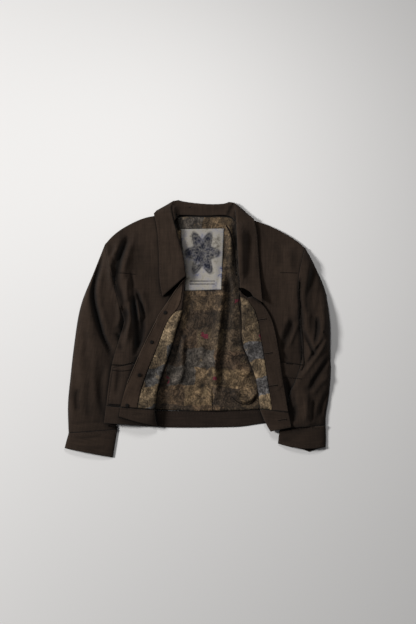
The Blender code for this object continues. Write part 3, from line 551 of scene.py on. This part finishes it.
def cut_fine(bm, longest):
    """Merges the loose triangles of a solid and cuts its edges until none is longer than longest."""
    bmesh.ops.remove_doubles(bm, verts=bm.verts, dist=WELD)
    for _ in range(CUT_ROUNDS):
        long = [edge for edge in bm.edges if edge.calc_length() > longest]
        if not long:
            break
        bmesh.ops.subdivide_edges(bm, edges=long, cuts=1)
        bmesh.ops.triangulate(bm, faces=[face for face in bm.faces if len(face.verts) > 3])


def softened(points, edges, rim, rounds):
    """Points moved to the mean of their neighbours; a rim moves only along itself, and its corners stay."""
    count = len(points)
    rims = edges[rim]
    on_rim = np.zeros(count, bool)
    on_rim[rims] = True
    bend = np.zeros((count, 3))
    step = points[rims[:, 1]] - points[rims[:, 0]]
    np.add.at(bend, rims[:, 0], step)
    np.add.at(bend, rims[:, 1], -step)
    sharp = np.linalg.norm(bend, axis=1) > 0.5 * FINE
    keep = on_rim & ((np.bincount(rims.ravel(), minlength=count) != 2) | sharp)
    ahead, back = edges[~on_rim[edges[:, 0]]], edges[~on_rim[edges[:, 1]]][:, ::-1]
    links = np.vstack([ahead, back, rims, rims[:, ::-1]])
    number = np.maximum(np.bincount(links[:, 0], minlength=count), 1)[:, None]
    for _ in range(rounds):
        sums = [np.bincount(links[:, 0], points[links[:, 1], k], count) for k in range(3)]
        total = np.stack(sums, axis=1)
        points = np.where(keep[:, None], points, 0.5 * points + 0.5 * total / number)
    return points


print("finest cut", round(FINE / MM, 1), "mm")

# %% [markdown]
# ## Laying folds and layers
# A fold lifts or sinks the cloth by its distance to the fold's line, and fades at its ends. On a front
# the folds stop at the turned-back edge, which FRONT_EDGES marks. After that a piece is raised wherever it
# would dip into what lies under it, found by looking straight down on the pieces dressed so far, from SKY,
# and it keeps a little AIR below it. These two are in metres.

# %% Laying folds and layers
FRONT_EDGES = {
    "left": [(-64, 390), (-94, 345), (-134, 280), (-171, 204), (-207, 121), (-225, 56), (-229, 28)],
    "right": [(109, 363), (130, 352), (155, 334), (182, 289), (194, 240), (201, 200), (212, 124), (225, 42),
              (234, 2)],
}
LINE_STEPS = 48
REACH = 2.6
END_FADE = 5
END_SOFTNESS = 0.8
FLAP_STEPS = 60
FLAP_BLEND = 9
SKY = 0.2
AIR = 0.0003
laid = []


def along(points, marks, width):
    """How much each flat place belongs to a marked line: 1 on it, less with distance and at its ends."""
    line = drawn(marks, LINE_STEPS)
    reach = REACH * width * MM
    share = np.zeros(len(points))
    close = (points > line.min(0) - reach) & (points < line.max(0) + reach)
    near = np.flatnonzero(np.all(close, axis=1))
    gaps = np.linalg.norm(points[near, None] - line[None], axis=2)
    run = gaps.argmin(axis=1) / (LINE_STEPS - 1)
    fade = np.clip(np.minimum(run, 1 - run) * END_FADE, 0, 1) ** END_SOFTNESS
    share[near] = fade * np.exp(-(gaps.min(axis=1) / (width * MM)) ** 2)
    return share


def folded(points, rows):
    """The height that all folds of a table add at flat places."""
    lifts = (height * MM * along(points, marks, width) for marks, width, height in rows)
    return sum(lifts, np.zeros(len(points)))


def clear_of_flap(points, side):
    """1 away from the turned-back flap of a front, 0 on it."""
    edge = drawn(FRONT_EDGES[side], FLAP_STEPS)[::-1]
    gap = np.interp(points[:, 1], edge[:, 1], edge[:, 0]) - points[:, 0]
    return np.clip((gap if side == "left" else -gap) / (FLAP_BLEND * MM), 0.0, 1.0)


def look_down(tree, x, y):
    """The place and the way up where a look straight down meets a piece."""
    return tree.ray_cast(Vector((x, y, SKY)), Vector((0, 0, -1)))[:2]


def raised(points, normals, thickness, limit):
    """Heights that clear the pieces already laid, for dips no deeper than limit."""
    heights = points[:, 2].copy()
    for low, high, tree in laid:
        inside = np.all((points[:, :2] > low) & (points[:, :2] < high), axis=1)
        for i in np.flatnonzero(inside):
            hit = look_down(tree, points[i, 0], points[i, 1])[0]
            if hit:
                level = hit.z + AIR + (thickness if normals[i, 2] > 0 else 0.0)
                if heights[i] < level < heights[i] + limit:
                    heights[i] = level
    return heights


print("folds reach", REACH, "times their width")

# %% [markdown]
# ## Dressing a panel
# One function carries a panel through all of these steps and gives it its grain, its cloth and its place
# in the jacket. Both faces of the cloth move together, so it keeps its thickness. On a sleeve only the
# upper layer folds, and folds take hold over SOFT_START millimetres of height. An edge that bends by more
# than RIM_ANGLE, in radians, is a cut edge. An attribute remembers the troughs, full at 10 mm deep, for the
# painted shade in the cloth's colour.

# %% Dressing a panel
DEEP = 0.010
RIM_ANGLE = 1.2
SOFT_START = 4
SHARP = math.radians(55)


def mesh_of(bm, name):
    """A mesh with what was modelled in bm."""
    mesh = bpy.data.meshes.new(name)
    bm.to_mesh(mesh)
    bm.free()
    return mesh


def sewn_on(name, mesh, material):
    """A new piece of the jacket."""
    mesh.materials.append(material)
    piece = bpy.data.objects.new(name, mesh)
    bpy.context.scene.collection.objects.link(piece)
    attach(piece, "root")
    return piece


def give_grain(mesh, points, degrees):
    """A UV map in metres, turned so that its second way runs along the threads."""
    turn = math.radians(degrees)
    rotation = np.array([[math.cos(turn), -math.sin(turn)], [math.sin(turn), math.cos(turn)]])
    threads = points[:, :2] @ rotation
    corner = np.zeros(len(mesh.loops), int)
    mesh.loops.foreach_get("vertex_index", corner)
    mesh.uv_layers.new(name="grain").data.foreach_set("uv", threads[corner].ravel())


def dress(node, material, cut, grain=0.0, folds=(), rounds=18, longest=FINE, flap=None,
          above=0.0, limit=3.0, thickness=1.6):
    """The cloth piece for one solid. cut is its flat width, length, area and what it lies on; it is not
    used.
    """
    bm = bmesh.new()
    bm.from_mesh(nodes[node].data)
    cut_fine(bm, longest)
    edges = np.array([[vert.index for vert in edge.verts] for edge in bm.edges])
    rim = np.array([edge.calc_face_angle(0.0) > RIM_ANGLE for edge in bm.edges])
    points = softened(np.array([vert.co for vert in bm.verts]), edges, rim, rounds)
    bm.normal_update()
    normals = np.array([vert.normal for vert in bm.verts])
    lift = folded(points[:, :2], folds)
    if flap:
        lift *= clear_of_flap(points, flap)
    points[:, 2] += lift * np.clip((points[:, 2] - above * MM) / (SOFT_START * MM), 0.0, 1.0)
    for marks, width, push in NUDGES.get(node, ()):
        points += along(points[:, :2], marks, width)[:, None] * np.array(push) * MM
    floor_level = np.where(normals[:, 2] > 0, thickness * MM, 0.0)
    points[:, 2] = np.maximum(raised(points, normals, thickness * MM, limit * MM), floor_level)
    mesh = mesh_of(bm, node + "_cloth")
    mesh.vertices.foreach_set("co", points.ravel())
    give_grain(mesh, points, grain)
    # Painted shade: how dark each place is drawn, from how deep its trough is.
    shade_share = np.clip(-lift / DEEP, 0.0, 1.0).astype(np.float32)
    mesh.attributes.new("trough", "FLOAT", "POINT").data.foreach_set("value", shade_share)
    mesh.polygons.foreach_set("use_smooth", np.ones(len(mesh.polygons), bool))
    mesh.set_sharp_from_angle(angle=SHARP)
    piece = sewn_on(node + "_cloth", mesh, material)
    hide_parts(node)
    width, length, area, under = cut
    tree = BVHTree.FromPolygons(points.tolist(), [tuple(face.vertices) for face in mesh.polygons])
    laid.append((points[:, :2].min(0), points[:, :2].max(0), tree))
    print(node, len(mesh.polygons), "faces, top", (points[:, 2].max() / MM).round(1), "mm")


print("troughs are darkest at", DEEP / MM, "mm")

# %% [markdown]
# ## Left sleeve, back, lining and label
# The left sleeve lies lowest, under the side of the body. The back lies on the floor, mostly hidden. Its
# lining and hem band show between the fronts, and the label is sewn on under the neck. The lining is
# loose and lively.

# %% Left sleeve, back, lining and label
dress("sleeve_left", wool, (0.30, 0.50, 0.108, ["floor"]),
      grain=-9.0, folds=FOLDS["left"], above=4.0)
dress("cuff_left", wool, (0.27, 0.062, 0.0158, ["floor"]),
      grain=81.0, folds=FOLDS["left"], above=4.0)
dress("back", wool, (0.57, 0.53, 0.258, ["floor"]), longest=0.014, rounds=4)
dress("back_waistband", inside_wool, (0.55, 0.047, 0.0242, ["floor"]), grain=90.0, thickness=2.0)
dress("back_lining", lining_cloth, (0.36, 0.525, 0.135, ["back_cloth"]),
      folds=FOLDS["lining"], thickness=1.0)
dress("label", label_cotton, (0.12, 0.168, 0.0181, ["back_lining_cloth"]),
      folds=FOLDS["label"], thickness=0.8, limit=14.0)

# %% [markdown]
# ## Fronts
# Each front is one piece: it lies on the back, rolls over at the fold and comes back as the flap. The
# facing and a strip of lining cover the flap, and the pocket lies on the part below. The hem band folds
# with it. The right sleeve is laid over the right front before the flap trim.

# %% Fronts
for side, tilt, facing_wool in (("left", -22.0, turned_wool), ("right", 12.0, wool)):
    rows = FOLDS[side]
    body = "front_%s_cloth" % side
    dress("front_" + side, wool, (0.30, 0.55, 0.103, ["back_lining_cloth"]),
          folds=rows, flap=side, limit=10.0)
    dress("waistband_" + side, wool, (0.24, 0.05, 0.0108, ["back_waistband_cloth"]),
          grain=90.0, thickness=2.0)
    dress("pocket_" + side, wool, (0.13, 0.12, 0.0119, [body]), folds=rows, flap=side, limit=6.0)
    if side == "right":
        dress("sleeve_right", wool, (0.28, 0.48, 0.0845, ["floor", body]),
              grain=6.0, folds=rows, above=6.0, limit=5.0)
        dress("cuff_right", wool, (0.26, 0.06, 0.0147, ["floor"]),
              grain=92.0, folds=rows, above=6.0)
    dress("facing_" + side, facing_wool, (0.05, 0.37, 0.0124, [body]), grain=tilt, limit=4.0)
    dress("front_lining_" + side, flap_cloth, (0.09, 0.30, 0.0225, [body]), thickness=1.0)

# %% [markdown]
# ## Under the collar points
# Below each collar leaf there is a dark gap in deep shadow. It is painted as a narrow near-black sliver
# that lies on the front: a flat grid, drawn between two marked lines and let down on to the cloth, as far
# as the edge of the flap, which covers the rest.

# %% Under the collar points
# Near-black paint for the shadow under the collar points.
painted_collar_shadow = one_colour("under_collar_felt", "#070605", 1.0, 0.0)
SLIVERS = {
    "left": ([(-114, 354), (-98, 369), (-74, 397), (-53, 407)],
             [(-107, 351), (-88, 360), (-74, 377), (-54, 399)]),
    "right": ([(92, 376), (109, 376), (131, 360), (157, 335)],
              [(96, 362), (107, 354), (130, 346), (156, 330)]),
}
LONG_CUTS = 30
SHORT_CUTS = 8
CLIMB = 0.0025
SHADOW_OVER_CLOTH = 0.0009


def settled(spots):
    """Places on top of the dressed jacket, straight below flat places, with the way up there."""
    found = []
    for x, y in spots:
        hits = [look_down(tree, x, y) for _, _, tree in laid]
        hits = [hit for hit in hits if hit[0]]
        found.append(max(hits, key=lambda hit: hit[0].z) if hits else None)
    return found


# Painted shadow: a near-black sliver under each collar point.
for side, (upper, lower) in SLIVERS.items():
    bm = bmesh.new()
    grid = bmesh.ops.create_grid(bm, x_segments=LONG_CUTS, y_segments=SHORT_CUTS, size=1.0)["verts"]
    share = np.array([vert.co[:2] for vert in grid]) * 0.5 + 0.5
    top, bottom = drawn(upper, LONG_CUTS + 1), drawn(lower, LONG_CUTS + 1)
    column = np.rint(share[:, 0] * LONG_CUTS).astype(int)
    plan = top[column] + (bottom - top)[column] * share[:, 1:]
    cloth = np.array([hit[0].z if hit else 0.0 for hit in settled(plan)])
    lowest = np.array([cloth[column == step].min() for step in range(LONG_CUTS + 1)])[column]
    level = np.minimum(cloth, lowest + CLIMB) + SHADOW_OVER_CLOTH
    for vert, spot, height in zip(grid, plan, level):
        vert.co = (*spot, height)
    bmesh.ops.recalc_face_normals(bm, faces=bm.faces)
    area = sum(face.calc_area() for face in bm.faces)
    piece = sewn_on("under_collar_" + side, mesh_of(bm, "under_collar_" + side), painted_collar_shadow)
    print(piece.name, "area", round(area / MM ** 2), "square mm")

# %% [markdown]
# ## Collar
# The collar is one band: a stand at the neck that shows at the back, and a leaf that falls over both
# fronts. Its points stand off the cloth a little, so a shadow falls under them, made deeper by the painted
# shadow slivers.

# %% Collar
dress("collar", wool, (0.60, 0.12, 0.0524, ["front_left_cloth", "front_right_cloth"]),
      folds=FOLDS["collar"], above=6.0, thickness=2.0)

# %% [markdown]
# ## Buttons
# Four small flat buttons on the inside of the left front stay the sewing of the outer ones. The solids
# are already true, so they only get a rounded rim.

# %% Buttons
BUTTON_RIM = 0.0004
for number in (1, 2, 3, 4):
    node = "button_left_%d" % number
    bm = bmesh.new()
    bm.from_mesh(nodes[node].data)
    bmesh.ops.remove_doubles(bm, verts=bm.verts, dist=WELD)
    rims = [edge for edge in bm.edges if edge.calc_face_angle(0.0) > RIM_ANGLE]
    bmesh.ops.bevel(bm, geom=rims, offset=BUTTON_RIM, affect="EDGES", segments=2, profile=0.5, material=-1)
    piece = sewn_on("stay_" + node, mesh_of(bm, "stay_" + node), horn)
    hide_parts(node)
    print(piece.name, len(piece.data.polygons), "faces")

# %% [markdown]
# ## Stitching
# Rows of stitches hold the edges: round the collar, down the front edges, and along the hem band, the
# cuffs and the pockets. A stitch is really 3 mm long and hair-thin. Here it is drawn 5 mm long, so that
# it shows. Each is a small flattened bead on the cloth, found by looking straight down on it.

# %% Stitching
STITCH = (0.0050, 0.0011, 0.0007)
PITCH = 0.0072
MEASURE_STEPS = 200
BEAD_LIFT = 0.2


def beads(name, lines, size, pitch, material):
    """One mesh of flat beads along marked lines."""
    bm = bmesh.new()
    for marks in lines:
        length = np.linalg.norm(np.diff(drawn(marks, MEASURE_STEPS), axis=0), axis=1).sum()
        path = drawn(marks, max(2, int(length / pitch)))
        for spot, course in zip(settled(path), np.gradient(path, axis=0)):
            if spot is None:
                continue
            up = spot[1] if spot[1].z > 0 else -spot[1]
            ahead = Vector((course[0], course[1], 0.0)).normalized()
            ahead = (ahead - up * ahead.dot(up)).normalized()
            turn = Matrix((ahead, up.cross(ahead), up)).transposed().to_4x4()
            seat = Matrix.Translation(spot[0] + up * BEAD_LIFT * size[2])
            seat = seat @ turn @ Matrix.Diagonal((*size, 1.0))
            bmesh.ops.create_icosphere(bm, subdivisions=1, radius=0.5, matrix=seat)
    mesh = mesh_of(bm, name)
    mesh.polygons.foreach_set("use_smooth", np.ones(len(mesh.polygons), bool))
    sewn_on(name, mesh, material)
    print(name, len(mesh.polygons), "faces")


SEWING = {
    "collar_stitches": [
        [(-118, 358), (-117, 395), (-118, 440), (-120, 488), (-122, 533), (-128, 566)],
        [(152, 342), (147, 392), (143, 442), (141, 482), (138, 522), (131, 552)],
    ],
    "front_edge_stitches": [
        [(-74, 366), (-99, 328), (-128, 278), (-164, 203), (-200, 122), (-217, 60)],
        [(160, 316), (176, 284), (187, 240), (194, 200), (205, 124), (217, 46)],
    ],
    "waistband_stitches": [
        [(-126, 37), (-60, 36), (0, 36), (80, 38), (150, 41)],
        [(-120, 7), (-50, 6), (30, 7), (100, 9), (160, 17)],
        [(-258, 20), (-236, 17)],
        [(-218, 36), (-180, 34), (-138, 38)],
        [(184, -4), (206, 0), (230, 6)],
    ],
    "cuff_stitches": [
        [(-360, -24), (-320, -19), (-280, -15), (-244, -13)],
        [(-368, -54), (-330, -61), (-290, -68), (-252, -76)],
        [(210, -7), (250, -3), (290, -2), (320, -4)],
        [(206, -40), (250, -47), (290, -50), (320, -49)],
    ],
    "pocket_stitches": [
        [(-243, 138), (-222, 135), (-204, 138)],
        [(-244, 164), (-253, 100), (-257, 68)],
        [(218, 132), (236, 131), (248, 130)],
    ],
}
for name, lines in SEWING.items():
    beads(name, lines, STITCH, PITCH, thread)

# %% [markdown]
# ## Seams, edges and buttonholes
# Seams show as dark lines at the front yokes, the pockets and hems. Narrow gaps and hollows where shade
# falls get painted shade as dark lines too: at the right armhole, the pocket mouths, under the left flap's
# hem band, at the left cuff, beside the collar's roll and in the slits of the lining. The turned left front
# edge catches the light, so it gets a fine pale roll of painted highlight. The right facing has four worked
# buttonholes, each a dark slit between two rows of close stitches. All are rows of beads set end to end.
# Each row of the table gives the width in millimetres and the lines.

# %% Seams, edges and buttonholes
# A painted highlight: the pale roll stands for light caught by the turned left front edge.
painted_edge_highlight = one_colour("painted_highlight_on_edge", "#463b32", 0.9, 0.1)
# Most rows are painted shade: the gaps, the pocket mouths, the armhole, the rolls and the lining slits. The
# seam rows are dark seams, and the neck loop is a dark loop.
DARK_LINES = {
    "yoke_seams": (1.3, [[(-232, 416), (-210, 414), (-188, 412)], [(206, 417), (231, 416), (246, 415)]]),
    "pocket_mouths": (3.4, [[(-251, 169), (-220, 168), (-196, 174)], [(222, 172), (244, 170), (262, 168)]]),
    "side_seams": (1.8, [[(-252, 168), (-258, 120), (-264, 62)]]),
    "flap_hem_gap": (3.6, [[(-228, 29), (-208, 23), (-188, 17), (-164, 11), (-146, 7)]]),
    "pocket_hems": (1.8, [[(-245, 154), (-222, 152), (-200, 155)], [(214, 134), (238, 132.5), (258, 131)]]),
    "lining_slits": (2.4, [
        [(94, 356), (92, 335), (96, 310), (100, 286), (100, 238), (103, 213), (118, 187)],
        [(20, 102), (21, 70), (21, 48)],
        [(76, 80), (92, 66), (110, 62), (127, 64), (137, 78)],
    ]),
    "right_armhole": (5.0, [
        [(254, 392), (254, 360), (257, 320), (261, 280), (265, 240), (267, 200), (268, 172), (262, 156)],
    ]),
    "left_roll_shade": (9.0, [[(-76, 574), (-74, 556), (-70, 534)]]),
    "right_roll_shade": (5.0, [[(60, 542), (70, 522), (78, 485), (83, 440), (85, 412)]]),
    "cuff_gap": (5.0, [[(-258, 4), (-247, 1), (-237, -2)]]),
    "hem_seam": (2.6, [BACK_HEM_SEAM[1:-1]]),
    "neck_loop": (4.0, [[(10, 569), (18, 569)]]),
}
DARK_LINE_BEAD = (0.0075, 0.0012)
DARK_LINE_PITCH = 0.004
LEFT_ROLL = [(-53, 400), (-74, 374), (-95, 343), (-123, 302), (-136, 275), (-170, 206), (-206, 122)]
ROLL_BEAD = (0.0075, 0.0022, 0.0020)
ROLL_PITCH = 0.003
HOLES = [(155, 290), (171, 199), (185, 112), (209, 21)]
HALF_HOLE = (10, 1.5)
WELT_GAP = 2.2
SLIT_BEAD = (0.0060, 0.0024, 0.0010)
WELT_BEAD = (0.0020, 0.0022, 0.0014)
WELT_PITCH = 0.0016
for name, (width, lines) in DARK_LINES.items():
    beads(name, lines, (DARK_LINE_BEAD[0], width * MM, DARK_LINE_BEAD[1]), DARK_LINE_PITCH, shade)
beads("left_front_roll", [LEFT_ROLL], ROLL_BEAD, ROLL_PITCH, painted_edge_highlight)
slits, welts = [], []
for x, y in HOLES:
    a, b = (x - HALF_HOLE[0], y - HALF_HOLE[1]), (x + HALF_HOLE[0], y + HALF_HOLE[1])
    slits.append([a, b])
    for gap in (WELT_GAP, -WELT_GAP):
        welts.append([(a[0], a[1] + gap), (b[0], b[1] + gap)])
beads("buttonhole_slits", slits, SLIT_BEAD, DARK_LINE_PITCH, shade)
beads("buttonhole_welts", welts, WELT_BEAD, WELT_PITCH, thread)

# %% [markdown]
# ## Floor, light and camera
# A pale floor, one broad soft window of light low from the left, a weak lamp above and a little light
# from all round, with the camera straight above the jacket as in the picture. The standard view keeps the
# floor as pale as it is.

# %% Floor, light and camera
FLOOR_HALF = 6.0
FLOOR_DROP = 0.0005
ROOM_LIGHT = 0.095
CAMERA_SPOT = (0.0278, 0.0451, 3.28)
bm = bmesh.new()
bmesh.ops.create_grid(bm, x_segments=1, y_segments=1, size=FLOOR_HALF)
floor_mesh = mesh_of(bm, "floor")
floor_mesh.materials.append(one_colour("pale_floor", "#e6e5e4", 0.9, 0.2))
floor = bpy.data.objects.new("floor", floor_mesh)
floor.location = (0, 0, -FLOOR_DROP)
bpy.context.scene.collection.objects.link(floor)


def window(name, spot, target, size, power, tint="#fffefd"):
    """A square, soft light that faces the target and isn't seen itself."""
    light = bpy.data.lights.new(name, "AREA")
    light.shape = "RECTANGLE"
    light.size, light.size_y = size, size
    light.energy = power
    light.color = colour(tint)[:3]
    lamp = bpy.data.objects.new(name, light)
    lamp.location = spot
    lamp.rotation_euler = (Vector(target) - Vector(spot)).to_track_quat("-Z", "Y").to_euler()
    lamp.visible_camera = False
    bpy.context.scene.collection.objects.link(lamp)


window("window", spot=(-4.05, 1.05, 2.72), target=(0.0, 0.0, 0.0), size=1.0, power=268.0)
window("ceiling_lamp", spot=(0.0, 0.77, 0.92), target=(-0.28, -1.20, 0.0), size=0.3, power=5.1)
world = bpy.data.worlds.new("room")
world.use_nodes = True
background = world.node_tree.nodes["Background"]
background.inputs["Color"].default_value = colour("#f2f3f5")
background.inputs["Strength"].default_value = ROOM_LIGHT
bpy.context.scene.world = world
bpy.context.scene.view_settings.view_transform = "Standard"

eye = bpy.data.cameras.new("camera")
eye.lens = 70.0
eye.sensor_width = 36.0
camera = bpy.data.objects.new("camera", eye)
camera.location = CAMERA_SPOT
bpy.context.scene.collection.objects.link(camera)
bpy.context.scene.camera = camera
print("camera above", tuple(round(v, 3) for v in camera.location))
